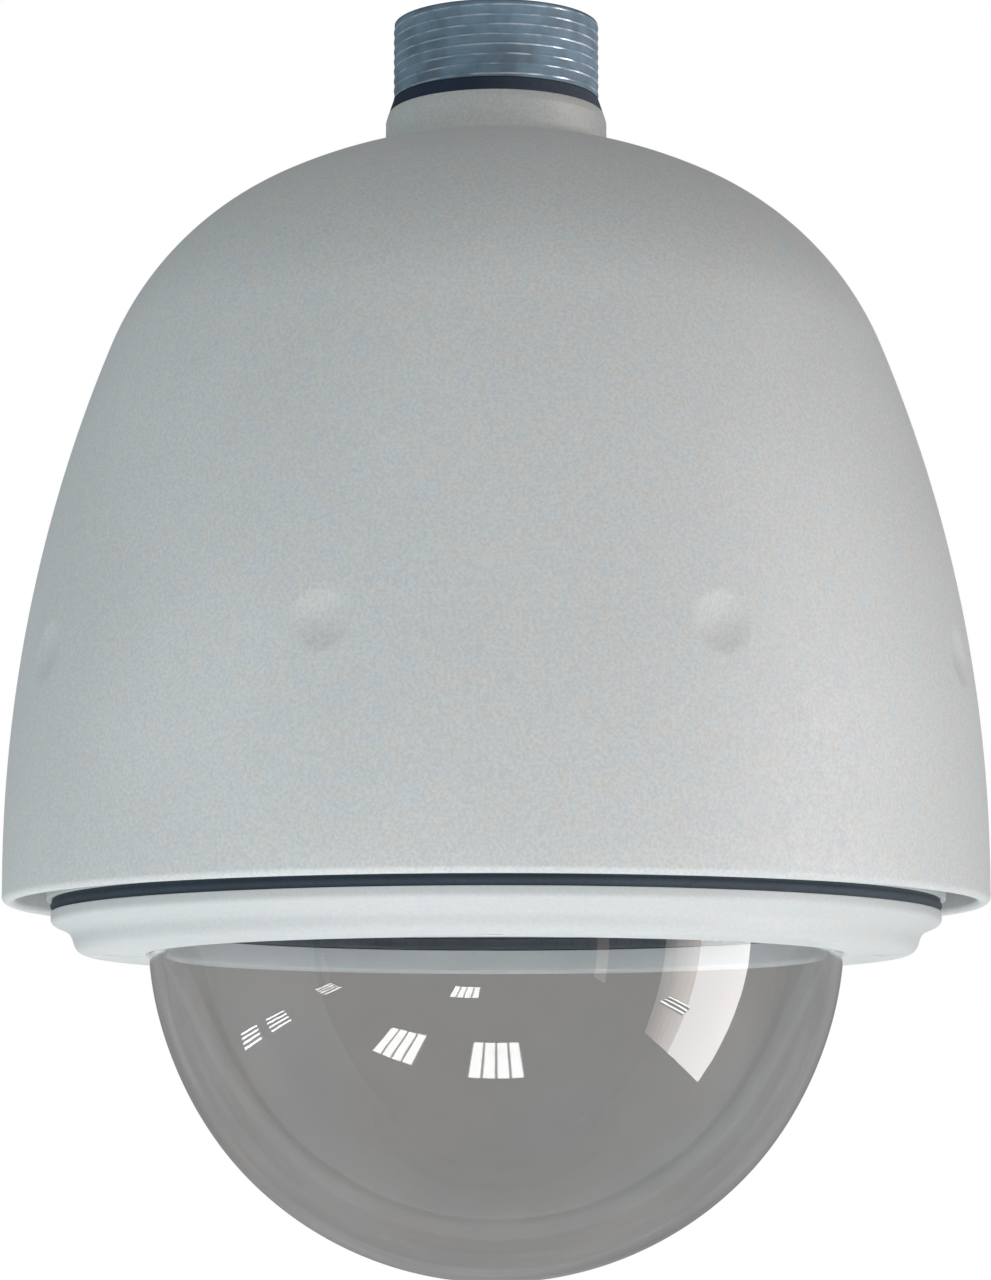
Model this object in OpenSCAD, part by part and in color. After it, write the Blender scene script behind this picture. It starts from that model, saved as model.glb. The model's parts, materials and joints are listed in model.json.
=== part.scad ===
// Pendant dome camera: a threaded pipe mount, a bell-shaped sunshield over a sealed
// housing, a lightly smoked bubble in a trim ring, and a pan, tilt and zoom camera inside.
// Millimetres. +Z is up, the lens looks along -Y, and z = 0 is the foot of the thread.

/* [Mounting thread] */
// Crest radius of the 1 1/2 inch parallel pipe thread
thread_crest_r = 23.9; // [22.5:0.1:24.5]
// Distance from one thread turn to the next
thread_pitch = 2.309; // [1.8:0.001:2.4]
// Full turns of thread
thread_turns = 7; // [4:1:7]
// Height of the threaded end above its shoulder
thread_h = 18; // [17.5:0.5:24]
// Radius of the cable passage through the nipple
passage_r = 17; // [12:0.5:18]

/* [Sunshield] */
// Outer radius of the sunshield at its rim
shell_r = 112; // [110:1:114]
// Height of the rim below the foot of the thread
rim_drop = 188; // [187.5:0.5:190]
// Wall of the sunshield
shell_wall = 3.2; // [2:0.2:4]
// Radius of the long curve of the sunshield's flank
flank_radius = 324; // [300:2:350]
// Radius of the sunshield's shoulder
shoulder_radius = 73.2; // [70:0.2:76]
// Air gap between the sunshield and the housing
air_gap = 6.8; // [5:0.2:7]
// Round dimples around the sunshield
dimple_count = 8; // [4:1:12]
// Depth of a dimple
dimple_depth = 1.2; // [0.6:0.1:1.6]

/* [Bubble and trim ring] */
// Outer radius of the bubble
bubble_r = 79; // [76:0.5:79]
// Wall of the bubble
bubble_wall = 3; // [2:0.25:3]
// Height of the trim ring's lower face below the foot of the thread
trim_drop = 199.2; // [199:0.1:201]

/* [Pan and tilt] */
// Height of the tilt axis below the foot of the thread
tilt_drop = 172; // [168:0.5:176]
// Teeth of the large pan pulley
pan_teeth = 120; // [100:1:120]
// Teeth of the large tilt pulley
tilt_teeth = 60; // [48:1:60]
// Teeth of each motor pulley
motor_teeth = 16; // [14:1:18]
// Distance from the pan axis to its motor's shaft
pan_centres = 52; // [50:0.5:53]
// Distance from the tilt axis to its motor's shaft
tilt_centres = 32; // [31:0.5:34]

/* [Camera] */
// Width of the camera's covers
camera_w = 44; // [40:1:44]
// Height of the camera's covers
camera_h = 42; // [40:1:42]
// Radius of the lens barrel
barrel_r = 17; // [15:0.5:17]

/* [Hidden] */
$fn = 96;

// Clearances
run_gap = 0.05;
slide_gap = 0.1;
belt_gap = 0.3;
cut = 1;

// Mounting stack
crest_land = 0.4;
thread_end_chamfer = 0.5;
root_r = thread_crest_r - 1.48;
shank_r = thread_crest_r - 3.4;
gasket_z = -3.3;
gasket_foot_r = thread_crest_r + 1.1;
collar_r = gasket_foot_r + 0.7;
collar_chamfer_z = -5;
collar_bore_r = shank_r + 0.3;
collar_fillet = 2.6;
nipple_foot_z = -35;
nut_h = 5.5;
nut_r = 28;

// Sunshield outline: rim, flank, shoulder and crown arcs that meet in tangents
rim_z = -rim_drop;
flank_z = -180.4;
flank_angle = 21.7;
shoulder_angle = 62.9;
flank_centre = [shell_r - flank_radius, flank_z];
shoulder_centre = flank_centre
    + (flank_radius - shoulder_radius) * [cos(flank_angle), sin(flank_angle)];
crown_radius = shoulder_radius + shoulder_centre[0] / cos(shoulder_angle);
crown_centre = shoulder_centre
    + (shoulder_radius - crown_radius) * [cos(shoulder_angle), sin(shoulder_angle)];
shell_seat_r = 30;
dimple_z = -135;
dimple_r = 6.5;
dimple_turn = 25.5;
spacer_r = 5;

// Housing
house_inset = shell_wall + air_gap;
house_wall = 3.2;
house_r = shell_r - house_inset;
house_in_r = house_r - house_wall;
house_z = -187;
house_lip_r = house_r - 8;
house_lip_h = 3;
house_bore_r = shank_r + run_gap;
house_boss_r = 28;
ceiling_r = 34;
fixing_count = 4;
post_r = 5;
post_circle = 74;
post_top_z = -66;
post_depth = 12;
screw_post_hole = 1.7;
lug_r = 5.5;
lug_circle = 87;
lug_top_z = -172;
gasket_h = 2.8;
gasket_inner_r = house_r - 6;

// Trim ring and bubble
trim_z = -trim_drop;
trim_top_z = house_z - gasket_h;
trim_flange_r = house_r - 1;
trim_flange_h = 2.6;
trim_wall_r = trim_flange_r - 4.5;
trim_slope_h = 1.9;
trim_taper = 1;
trim_fillet = 3.2;
trim_bore_r = bubble_r + 0.2;
trim_chamfer = 0.6;
pocket_r = 84.4;
pocket_z = -193.6;
clamp_seat_z = trim_top_z - 0.4;
clamp_seat_r = 93.5;
seal_h = 0.6;
bubble_flange_t = 2.4;
bubble_z = -193.7;
bubble_flange_r = 83;
seal_r = 84.2;
clamp_h = 2;
clamp_in_r = bubble_r - 1.2;
clamp_out_r = 93;
clamp_screw_circle = 88.5;
clamp_screw_count = 8;
clamp_screw_turn = 22.5;
clamp_hole_r = 1.55;
trim_screw_count = 4;
trim_screw_r = 2;
trim_head_r = 4;
trim_head_h = 3.5;
trim_recess_r = 4.2;
trim_recess_h = 3.6;

// Chassis and its boards
chassis_z = -84;
chassis_t = 2;
chassis_r = 80;
chassis_hole_r = 12;
chassis_slot_x = 52;
chassis_slot_r = 7;
board_t = 1.6;
board_z = -66;
board_x = 38;
board_back = 28;
board_front = -50;
standoff_x = 33;
standoff_ys = [-45, 23];
drive_board_z = -93;
drive_board_x = 30;
drive_board_ys = [-68, -44];
drive_post_x = 26;
drive_post_ys = [-64, -48];

// Heater and fan
heater_x = -61;
heater_w = 30;
fan_h = 10;
fan_top_z = -132;
fan_x = heater_x - 1.5 - heater_w / 2;
fan_bore_r = 13.6;
fan_blade_r = 13;
fan_hub_r = 7;
fan_blades = 7;
heater_top_z = -144;
heater_foot_z = -170;
heater_fins = 6;
fan_depth = 28;

// Pan drive, from the top down
cup_flange_r = 34;
cup_flange_h = 2.5;
cup_r = 28;
cup_foot_t = 1.2;
cup_screw_circle = 31;
bearing_top_z = -89;
bearing_h = 9.5;
bearing_z = bearing_top_z - bearing_h / 2;
race_out_r = 25;
race_gap_out_r = 19.3;
race_gap_in_r = 17.7;
hub_r = 14;
hub_bore_r = 7.75;
ball_circle = (race_gap_out_r + race_gap_in_r) / 2;
ball_r = 1.5;
groove_r = 1.58;
ball_count = 14;
hub_neck_r = 12;
hub_top_z = -86.8;
hub_shoulder_r = 17;
hub_shoulder_h = 4;
hub_screw_circle = 11;
pulley_top_z = bearing_top_z - bearing_h - hub_shoulder_h - 0.5;
pulley_h = 9;
pulley_flange_h = 1;
tooth_pitch = 2;
tooth_sink = 0.25;
pan_pulley_r = pan_teeth * tooth_pitch / (2 * PI) - tooth_sink;
tilt_pulley_r = tilt_teeth * tooth_pitch / (2 * PI) - tooth_sink;
motor_pulley_r = motor_teeth * tooth_pitch / (2 * PI) - tooth_sink;
belt_t = 1.2;
pan_belt_w = 6;
flange_rise = 2.2;
tilt_flange_rise = 1.6;
stator_r = 7.4;
stator_flange_r = 15;
stator_foot_z = -112;
stator_flange_h = 2.5;
stator_plug_r = 5;
stator_plug_h = 9;
pan_motor_w = 35;
pan_motor_h = 24;
motor_can_chamfer = 4;
pan_shaft_r = 2.5;

// Yoke
yoke_z = pulley_top_z - pulley_h;
yoke_t = 3;
yoke_r = 54;
arm_in_x = 30;
arm_t = 4;
arm_r = 15;
rotor_flange_r = 14;
pin_r = 4;
bushing_r = 6;
bushing_flange_r = 7.5;
tilt_z = -tilt_drop;
tilt_motor_z = tilt_z + tilt_centres;
tilt_motor_w = 28;
tilt_motor_l = 22;
tilt_shaft_r = 2;
tilt_shaft_hole_r = 6;
tilt_hole_pitch = 11.5;
tilt_pulley_x = 23;
tilt_pulley_w = 5.6;
tilt_belt_w = 4;
tilt_flange_h = 0.8;
control_x = -39;
control_ys = [-13, 13];
control_zs = [-166, -122];

// Camera, about the tilt axis
body_x = camera_w / 2 - 2;
body_z = camera_h / 2 - 2.5;
body_wall = 1.8;
front_y = -37;
body_front_y = -28;
body_back_y = 32;
back_y = 36;
cover_corner = 4;
boss_x = 17;
boss_z = 15.5;
boss_r = 3;
barrel_front_y = -40;
barrel_back_y = 4;
barrel_bore_r = barrel_r - 2;
front_lip_r = barrel_bore_r - 1.2;
front_lens_t = 5;
front_lens_sink = 1.5;
sensor_y = 9;
main_board_y = 22;
board_half_h = 12;
zoom_y = -24;
zoom_l = 6;
focus_y = -10;
focus_l = 5;
carrier_lens_r = 10;
carrier_lens_t = 4;
filter_y = 5.2;
filter_t = 1.6;
filter_half_w = 12;
filter_half_h = 6.5;
filter_window = 5.75;

function arc(centre, r, from, to, steps) =
    [for (i = [0 : steps]) let (a = from + (to - from) * i / steps)
        centre + r * [cos(a), sin(a)]];

function reversed(points) = [for (i = [len(points) - 1 : -1 : 0]) points[i]];

// The bell's outline from the rim up to the radius stop_r, moved inwards by inset
function bell(inset, stop_r) = concat(
    arc(flank_centre, flank_radius - inset, 0, flank_angle, 12),
    arc(shoulder_centre, shoulder_radius - inset, flank_angle, shoulder_angle, 12),
    arc(crown_centre, crown_radius - inset, shoulder_angle,
        acos(stop_r / (crown_radius - inset)), 6));

// Height of the bell's crown at a radius
function crown_at(inset, r) = crown_centre[1] + sqrt(pow(crown_radius - inset, 2) - r * r);

// Angle of the flank's surface at a height
function flank_slope(z) = asin((z - flank_z) / flank_radius);

module disc(r, top, foot) {
    translate([0, 0, foot]) cylinder(r = r, h = top - foot);
}

module ring(r_out, r_in, top, foot) {
    difference() {
        disc(r_out, top, foot);
        disc(r_in, top + cut, foot - cut);
    }
}

module box(low, high) {
    translate(low) cube(high - low);
}

// Copies on a circle, the first one turned by start from +X
module around(count, circle, start = 0) {
    for (i = [0 : count - 1]) rotate(start + i * 360 / count) translate([circle, 0, 0]) children();
}

// Lays a shape that stands on Z along the +X axis at the tilt height
module on_tilt_axis() {
    translate([0, 0, tilt_z]) rotate([0, 90, 0]) children();
}

// Lays a shape that stands on Z along the -Y axis, so that its top faces the front
module on_lens_axis() {
    translate([0, 0, tilt_z]) rotate([90, 0, 0]) children();
}

// Socket screw that hangs from z = 0: the head is above and the shank below
module screw(head_r, head_h, shank_r, shank_l) {
    difference() {
        union() {
            cylinder(r = head_r, h = head_h);
            translate([0, 0, -shank_l]) cylinder(r = shank_r, h = shank_l + head_h / 2);
        }
        translate([0, 0, head_h * 0.45]) cylinder(r = head_r * 0.5, h = head_h, $fn = 6);
    }
}

module rounded_area(w, h, r) {
    square([w - 2 * r, h], center = true);
    square([w, h - 2 * r], center = true);
    for (x = [-1, 1], y = [-1, 1]) translate([x * (w / 2 - r), y * (h / 2 - r)]) circle(r);
}

// Flat belt around two pulleys whose centres lie on Y
module belt(r_a, r_b, centres, w) {
    linear_extrude(w) difference() {
        hull() {
            circle(r_a + belt_gap + belt_t, $fn = 64);
            translate([0, centres]) circle(r_b + belt_gap + belt_t, $fn = 64);
        }
        hull() {
            circle(r_a + belt_gap, $fn = 64);
            translate([0, centres]) circle(r_b + belt_gap, $fn = 64);
        }
    }
}

// Flanged pulley that stands on z = 0
module pulley(r, w, flange_h, bore_r, rise) {
    difference() {
        union() {
            cylinder(r = r, h = w);
            cylinder(r = r + rise, h = flange_h);
            translate([0, 0, w - flange_h]) cylinder(r = r + rise, h = flange_h);
        }
        translate([0, 0, -cut]) cylinder(r = bore_r, h = w + 2 * cut);
    }
}

// ---------------------------------------------------------------- mounting stack

function thread_turn(i) =
    let (flank = thread_pitch / 2 - crest_land, foot = i * thread_pitch)
    [[thread_crest_r, foot + crest_land],
     [root_r, foot + crest_land + flank],
     [root_r, foot + thread_pitch - flank],
     [thread_crest_r, foot + thread_pitch]];

module threaded_nipple() {
    turns = [for (i = [0 : thread_turns - 1]) each thread_turn(i)];
    color("LightSteelBlue") rotate_extrude() polygon(concat(
        [[passage_r, nipple_foot_z], [shank_r, nipple_foot_z], [shank_r, 0], [thread_crest_r, 0]],
        turns,
        [[thread_crest_r, thread_h - thread_end_chamfer],
         [thread_crest_r - thread_end_chamfer, thread_h], [passage_r, thread_h]]));
}

module mount_gasket() {
    color("#26303a") rotate_extrude() polygon([
        [shank_r + slide_gap, 0], [thread_crest_r, 0],
        [gasket_foot_r, gasket_z], [shank_r + slide_gap, gasket_z]]);
}

module nipple_locknut() {
    top = crown_at(house_inset + house_wall, ceiling_r);
    color("Silver") difference() {
        translate([0, 0, top - nut_h]) cylinder(r = nut_r, h = nut_h, $fn = 6);
        disc(house_bore_r, top + cut, top - nut_h - cut);
    }
}

// ------------------------------------------------------------------ outer shells

// Stands a shape on the flank at the dimples' height, moved inwards by inset
module flank_seat(inset, turn) {
    slope = flank_slope(dimple_z);
    place = flank_centre + (flank_radius - inset) * [cos(slope), sin(slope)];
    rotate(turn - 90) translate([place[0], 0, place[1]]) rotate([0, 90 - slope, 0]) children();
}

module sunshield() {
    fillet_z = crown_centre[1]
        + sqrt(pow(crown_radius + collar_fillet, 2) - pow(collar_r + collar_fillet, 2));
    fillet_centre = [collar_r + collar_fillet, fillet_z];
    fillet_end = acos(fillet_centre[0] / (crown_radius + collar_fillet));
    fillet_foot_r = crown_radius * cos(fillet_end);
    lip_r = shell_wall / 2;
    dimple_ball = (dimple_r * dimple_r + dimple_depth * dimple_depth) / (2 * dimple_depth);
    color("#c9cdca") difference() {
        rotate_extrude() polygon(concat(
            arc([shell_r - lip_r, rim_z + lip_r], lip_r, -180, 0, 8),
            bell(0, fillet_foot_r),
            arc(fillet_centre, collar_fillet, 180 + fillet_end, 180, 5),
            [[collar_r, collar_chamfer_z], [gasket_foot_r, gasket_z], [collar_bore_r, gasket_z],
             [collar_bore_r, crown_at(shell_wall, shell_seat_r)]],
            reversed(bell(shell_wall, shell_seat_r))));
        for (i = [0 : dimple_count - 1]) flank_seat(0, dimple_turn + i * 360 / dimple_count)
            translate([0, 0, dimple_ball - dimple_depth]) sphere(dimple_ball);
    }
}

module shield_spacers() {
    play = 0.3;
    color("#2b2f33") for (i = [0 : dimple_count - 1])
        flank_seat(house_inset, dimple_turn + i * 360 / dimple_count)
            translate([0, 0, play]) cylinder(r = spacer_r, h = air_gap - 2 * play);
}

module housing_body() {
    seat_z = crown_at(shell_wall, shell_seat_r);
    inner = house_inset + house_wall;
    color("#c2c6c5") difference() {
        union() {
            rotate_extrude() polygon(concat(
                [[house_lip_r, house_z], [house_r, house_z]],
                bell(house_inset, house_boss_r),
                [[house_boss_r, seat_z], [house_bore_r, seat_z],
                 [house_bore_r, crown_at(inner, ceiling_r)]],
                reversed(bell(inner, ceiling_r)),
                [[house_in_r, house_z + house_lip_h * 2], [house_lip_r, house_z + house_lip_h]]));
            around(fixing_count, post_circle, 45) disc(post_r, post_top_z, chassis_z);
            around(trim_screw_count, lug_circle) {
                disc(lug_r, lug_top_z, house_z);
                box([0, 1 - lug_r, house_z], [house_r - 2 - lug_circle, lug_r - 1, lug_top_z - 1]);
            }
        }
        around(fixing_count, post_circle, 45) disc(screw_post_hole, chassis_z + post_depth, chassis_z - cut);
        around(trim_screw_count, lug_circle)
            disc(trim_screw_r + run_gap, lug_top_z - 2, house_z - cut);
    }
}

module housing_gasket() {
    color("#20272e") ring(trim_flange_r + 0.1, gasket_inner_r, house_z, trim_top_z);
}

// --------------------------------------------------------- trim ring and bubble

module trim_ring() {
    slope_z = trim_top_z - trim_flange_h - trim_slope_h;
    color("#dfe2df") difference() {
        rotate_extrude() polygon(concat(
            [[trim_flange_r, trim_top_z], [trim_flange_r, trim_top_z - trim_flange_h],
             [trim_wall_r, slope_z]],
            arc([trim_wall_r - trim_taper - trim_fillet, trim_z + trim_fillet], trim_fillet, 20, -90, 6),
            [[trim_bore_r + trim_chamfer, trim_z], [trim_bore_r, trim_z + trim_chamfer],
             [trim_bore_r, pocket_z], [pocket_r, pocket_z], [pocket_r, clamp_seat_z],
             [clamp_seat_r, clamp_seat_z], [clamp_seat_r, trim_top_z]]));
        around(trim_screw_count, lug_circle) {
            disc(trim_recess_r, trim_z + trim_recess_h, trim_z - cut);
            disc(trim_screw_r + 0.3, 0, trim_z - cut);
        }
        around(clamp_screw_count, clamp_screw_circle, clamp_screw_turn)
            disc(clamp_hole_r, 0, trim_z + 3);
    }
}

// A channel of rubber around the bubble's flange
module bubble_seal() {
    foot = pocket_z + seal_h;
    color("#1c1f22") difference() {
        ring(seal_r, trim_bore_r + 0.4, clamp_seat_z, pocket_z);
        disc(bubble_flange_r, foot + bubble_flange_t, foot);
    }
}

module dome_bubble() {
    foot = pocket_z + seal_h;
    top = foot + bubble_flange_t;
    color([0.55, 0.56, 0.56, 0.45]) difference() {
        union() {
            intersection() {
                translate([0, 0, bubble_z]) sphere(bubble_r, $fn = 160);
                disc(bubble_r + cut, bubble_z, bubble_z - bubble_r - cut);
            }
            disc(bubble_r, top, bubble_z);
            disc(bubble_flange_r, top, foot);
        }
        translate([0, 0, bubble_z]) sphere(bubble_r - bubble_wall, $fn = 160);
        disc(bubble_r - bubble_wall, top + cut, bubble_z);
    }
}

module bubble_clamp_ring() {
    color("Gainsboro") difference() {
        ring(clamp_out_r, clamp_in_r, clamp_seat_z + clamp_h, clamp_seat_z);
        around(trim_screw_count, lug_circle) disc(trim_screw_r + 0.6, 0, trim_z);
        around(clamp_screw_count, clamp_screw_circle, clamp_screw_turn) disc(1.7, 0, trim_z);
    }
}

module clamp_ring_screws() {
    color("Silver") around(clamp_screw_count, clamp_screw_circle, clamp_screw_turn)
        translate([0, 0, clamp_seat_z + clamp_h]) screw(2.75, 1.8, 1.5, 7);
}

module trim_ring_screws() {
    color("Silver") around(trim_screw_count, lug_circle)
        translate([0, 0, trim_z + trim_recess_h]) mirror([0, 0, 1])
            screw(trim_head_r, trim_head_h, trim_screw_r, 18);
}

// --------------------------------------------------------- chassis and its boards

module chassis_plate() {
    color("#9aa0a4") difference() {
        disc(chassis_r, chassis_z, chassis_z - chassis_t);
        disc(chassis_hole_r, 0, chassis_z - chassis_t - cut);
        around(fixing_count, post_circle, 45) disc(2.2, 0, chassis_z - chassis_t - cut);
        translate([0, pan_centres, 0]) disc(motor_pulley_r + 4, 0, chassis_z - chassis_t - cut);
        for (x = [-1, 1]) translate([x * chassis_slot_x, 0, 0]) disc(chassis_slot_r, 0, chassis_z - chassis_t - cut);
    }
}

module chassis_screws() {
    color("Silver") around(fixing_count, post_circle, 45)
        translate([0, 0, chassis_z - chassis_t]) mirror([0, 0, 1]) screw(3.5, 2.4, 1.65, 12);
}

module terminal_board() {
    color("#1f6b3f") difference() {
        box([-board_x, board_front, board_z], [board_x, board_back, board_z + board_t]);
        for (x = [-1, 1], y = standoff_ys) translate([x * standoff_x, y, 0])
            disc(1.6, 0, board_z - cut);
    }
}

module board_standoffs() {
    color("Goldenrod") for (x = [-1, 1], y = standoff_ys) translate([x * standoff_x, y, chassis_z])
        cylinder(r = 3, h = board_z - chassis_z, $fn = 6);
}

module board_screws() {
    color("Silver") for (x = [-1, 1], y = standoff_ys)
        translate([x * standoff_x, y, board_z + board_t]) screw(2.6, 1.8, 1.4, board_t);
}

module terminal_block() {
    ways = 6;
    way_w = 5;
    depth = 8;
    tall = 10;
    slot = [3.4, 5, 4];
    slot_z = 3;
    screw_r = 1.8;
    screw_sink = 1.5;
    color("SeaGreen") translate([-28, -49, board_z + board_t]) difference() {
        cube([ways * way_w, depth, tall]);
        for (i = [0 : ways - 1]) translate([(i + 0.5) * way_w, 0, 0]) {
            translate([0, slot[1] / 2 - 0.5, slot_z]) cube(slot, center = true);
            translate([0, depth / 2, tall - screw_sink]) cylinder(r = screw_r, h = screw_sink + cut);
        }
    }
}

module coax_socket() {
    block = [14, 12, 12];
    reach = 12;
    shell_r = 4.8;
    shell_bore_r = 4.1;
    shell_floor = 4;
    core_r = 1;
    core_l = 10;
    color("Silver") translate([20, -42, board_z + board_t]) {
        translate([-block[0] / 2, 0, 0]) cube(block);
        translate([0, 0, block[2] / 2]) rotate([90, 0, 0]) difference() {
            cylinder(r = shell_r, h = reach);
            translate([0, 0, shell_floor]) cylinder(r = shell_bore_r, h = reach);
        }
        translate([0, 0, block[2] / 2]) rotate([90, 0, 0]) cylinder(r = core_r, h = core_l);
    }
}

module power_module() {
    block = [26, 30, 16];
    can_r = 5;
    can_h = 18;
    can_x = 34;
    coil = [8, 18, 9];
    coil_at = [46, 2, 0];
    color("#30343a") translate([-30, -22, board_z + board_t]) {
        cube(block);
        for (y = [4, 18]) translate([can_x, y, 0]) cylinder(r = can_r, h = can_h);
        translate(coil_at) cube(coil);
    }
}

module drive_board() {
    foot = drive_board_z;
    // Left, front, right, back and thickness of each chip
    chips = [[-18, -63, -6, -51, 2], [6, -60, 14, -52, 1.4], [18, -64, 22, -48, 4]];
    color("#1f6b3f") {
        box([-drive_board_x, drive_board_ys[0], foot], [drive_board_x, drive_board_ys[1], foot + board_t]);
        for (chip = chips) box([chip[0], chip[1], foot - chip[4]], [chip[2], chip[3], foot]);
    }
}

module drive_board_standoffs() {
    top = chassis_z - chassis_t;
    color("Goldenrod") for (x = [-1, 1], y = drive_post_ys) translate([x * drive_post_x, y, 0])
        translate([0, 0, drive_board_z + board_t])
            cylinder(r = 2.5, h = top - drive_board_z - board_t, $fn = 6);
}

// ------------------------------------------------------------------ heater and fan

module heater_bracket() {
    top = chassis_z - chassis_t;
    sheet = 1.5;
    half_w = 14;
    color("#8d9397") {
        box([-72, -half_w, top - sheet], [heater_x, half_w, top]);
        box([heater_x - sheet, -half_w, heater_foot_z], [heater_x, half_w, top]);
    }
}

module heater_block() {
    back = heater_x - 1.5;
    fin_t = 1.6;
    fin_step = (fan_depth - fin_t) / (heater_fins - 1);
    color("#b9bec2") {
        box([back - 6, -fan_depth / 2, heater_foot_z], [back, fan_depth / 2, heater_top_z]);
        for (i = [0 : heater_fins - 1]) {
            y = -fan_depth / 2 + i * fin_step;
            box([back - 26, y, heater_foot_z], [back - 5, y + fin_t, heater_top_z]);
        }
    }
}

module fan_frame() {
    half = heater_w / 2;
    strut = 2;
    color("#22262a") translate([fan_x, 0, 0]) {
        difference() {
            box([-half, -half, fan_top_z - fan_h], [half, half, fan_top_z]);
            disc(fan_bore_r, fan_top_z + cut, fan_top_z - fan_h - cut);
            for (x = [-1, 1], y = [-1, 1]) translate([x * 12, y * 12, 0])
                disc(1.6, fan_top_z + cut, fan_top_z - fan_h - cut);
        }
        disc(fan_hub_r, fan_top_z - fan_h + 1, fan_top_z - fan_h);
        for (i = [0 : 2]) rotate(i * 120) box(
            [0, -strut / 2, fan_top_z - fan_h], [fan_bore_r + 1, strut / 2, fan_top_z - fan_h + 1]);
    }
}

module fan_rotor() {
    top = fan_top_z - 0.6;
    foot = fan_top_z - fan_h + 1.6;
    mid = (top + foot) / 2;
    blade_pitch = 38;
    blade_w = 7;
    color("#2c3136") translate([fan_x, 0, 0]) {
        disc(fan_hub_r - 0.4, top, foot);
        intersection() {
            for (i = [0 : fan_blades - 1]) rotate(i * 360 / fan_blades)
                translate([fan_hub_r / 2, 0, mid]) rotate([blade_pitch, 0, 0])
                    translate([0, -blade_w / 2, -0.5]) cube([fan_blade_r, blade_w, 1]);
            disc(fan_blade_r, top, foot);
        }
    }
}

// ----------------------------------------------------------------------- pan drive

module bearing_cup() {
    top = chassis_z - chassis_t;
    foot = bearing_top_z - bearing_h - cup_foot_t;
    color("Silver") difference() {
        union() {
            disc(cup_flange_r, top, top - cup_flange_h);
            disc(cup_r, top, foot);
        }
        disc(race_out_r + run_gap, top + cut, bearing_top_z - bearing_h);
        disc(race_out_r - 2, top, foot - cut);
        around(fixing_count, cup_screw_circle) disc(1.6, top + cut, top - cup_flange_h - cut);
    }
}

module cup_screws() {
    color("DimGray") around(fixing_count, cup_screw_circle)
        translate([0, 0, chassis_z - chassis_t - cup_flange_h]) mirror([0, 0, 1])
            screw(2.6, 1.8, 1.5, cup_flange_h);
}

module race(r_out, r_in) {
    rotate_extrude() difference() {
        translate([r_in, bearing_top_z - bearing_h]) square([r_out - r_in, bearing_h]);
        translate([ball_circle, bearing_z]) circle(groove_r);
    }
}

module pan_bearing_outer() {
    color("#d5d8da") race(race_out_r, race_gap_out_r);
}

module pan_bearing_inner() {
    color("#d5d8da") race(race_gap_in_r, hub_r + run_gap);
}

module pan_bearing_balls() {
    color("WhiteSmoke") around(ball_count, ball_circle) translate([0, 0, bearing_z]) sphere(ball_r);
}

module slip_ring_stator() {
    color("#3a3f45") {
        disc(stator_r, chassis_z, stator_foot_z);
        disc(stator_flange_r, chassis_z + stator_flange_h, chassis_z);
        disc(stator_plug_r, chassis_z + stator_plug_h, chassis_z);
    }
}

module slip_ring_rotor() {
    foot = yoke_z - yoke_t;
    color("#4a4f55") difference() {
        union() {
            disc(7, stator_foot_z - belt_gap, foot - 8);
            disc(rotor_flange_r, foot, foot - 2);
        }
        around(fixing_count, hub_screw_circle) disc(1.4, 0, foot - 3);
    }
}

module pan_motor() {
    half = pan_motor_w / 2;
    c = motor_can_chamfer;
    color("#33373b") translate([0, pan_centres, chassis_z]) difference() {
        linear_extrude(pan_motor_h) polygon([
            [-half + c, -half], [half - c, -half], [half, -half + c], [half, half - c],
            [half - c, half], [-half + c, half], [-half, half - c], [-half, -half + c]]);
        translate([0, 0, -cut]) cylinder(r = pan_shaft_r + 0.5, h = pan_motor_h / 2);
    }
}

module pan_motor_pulley() {
    color("Silver") translate([0, pan_centres, 0]) {
        translate([0, 0, pulley_top_z - pulley_h])
            pulley(motor_pulley_r, pulley_h, pulley_flange_h, pan_shaft_r, flange_rise);
        disc(pan_shaft_r, chassis_z + pan_motor_h / 2 - cut - 1, pulley_top_z - pulley_h);
    }
}

module pan_pulley() {
    spokes = 6;
    spoke_circle = 26;
    window_r = 7.5;
    color("#3b4046") translate([0, 0, pulley_top_z - pulley_h]) difference() {
        pulley(pan_pulley_r, pulley_h, pulley_flange_h, hub_r + run_gap, flange_rise);
        around(spokes, spoke_circle) translate([0, 0, -cut]) cylinder(r = window_r, h = pulley_h + 2 * cut);
    }
}

module pan_belt() {
    play = (pulley_h - pan_belt_w) / 2;
    color("#1b1d20") translate([0, 0, pulley_top_z - pulley_h + play])
        belt(pan_pulley_r, motor_pulley_r, pan_centres, pan_belt_w);
}

module pan_hub() {
    shoulder_z = bearing_top_z - bearing_h;
    color("#a7adb2") difference() {
        union() {
            disc(hub_neck_r, hub_top_z, bearing_top_z);
            disc(hub_r, bearing_top_z, yoke_z);
            disc(hub_shoulder_r, shoulder_z, pulley_top_z);
        }
        disc(hub_bore_r, 0, yoke_z - cut);
        around(fixing_count, hub_screw_circle) disc(1.25, yoke_z + 8, yoke_z - cut);
    }
}

module hub_nut() {
    color("DimGray") ring(hub_shoulder_r, hub_neck_r + run_gap, hub_top_z, bearing_top_z);
}

// ------------------------------------------------------------------ yoke and tilt

module arm_outline() {
    rise = yoke_z - yoke_t / 2 - tilt_z;
    circle(arm_r);
    translate([-arm_r, 0]) square([2 * arm_r, rise]);
}

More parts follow.
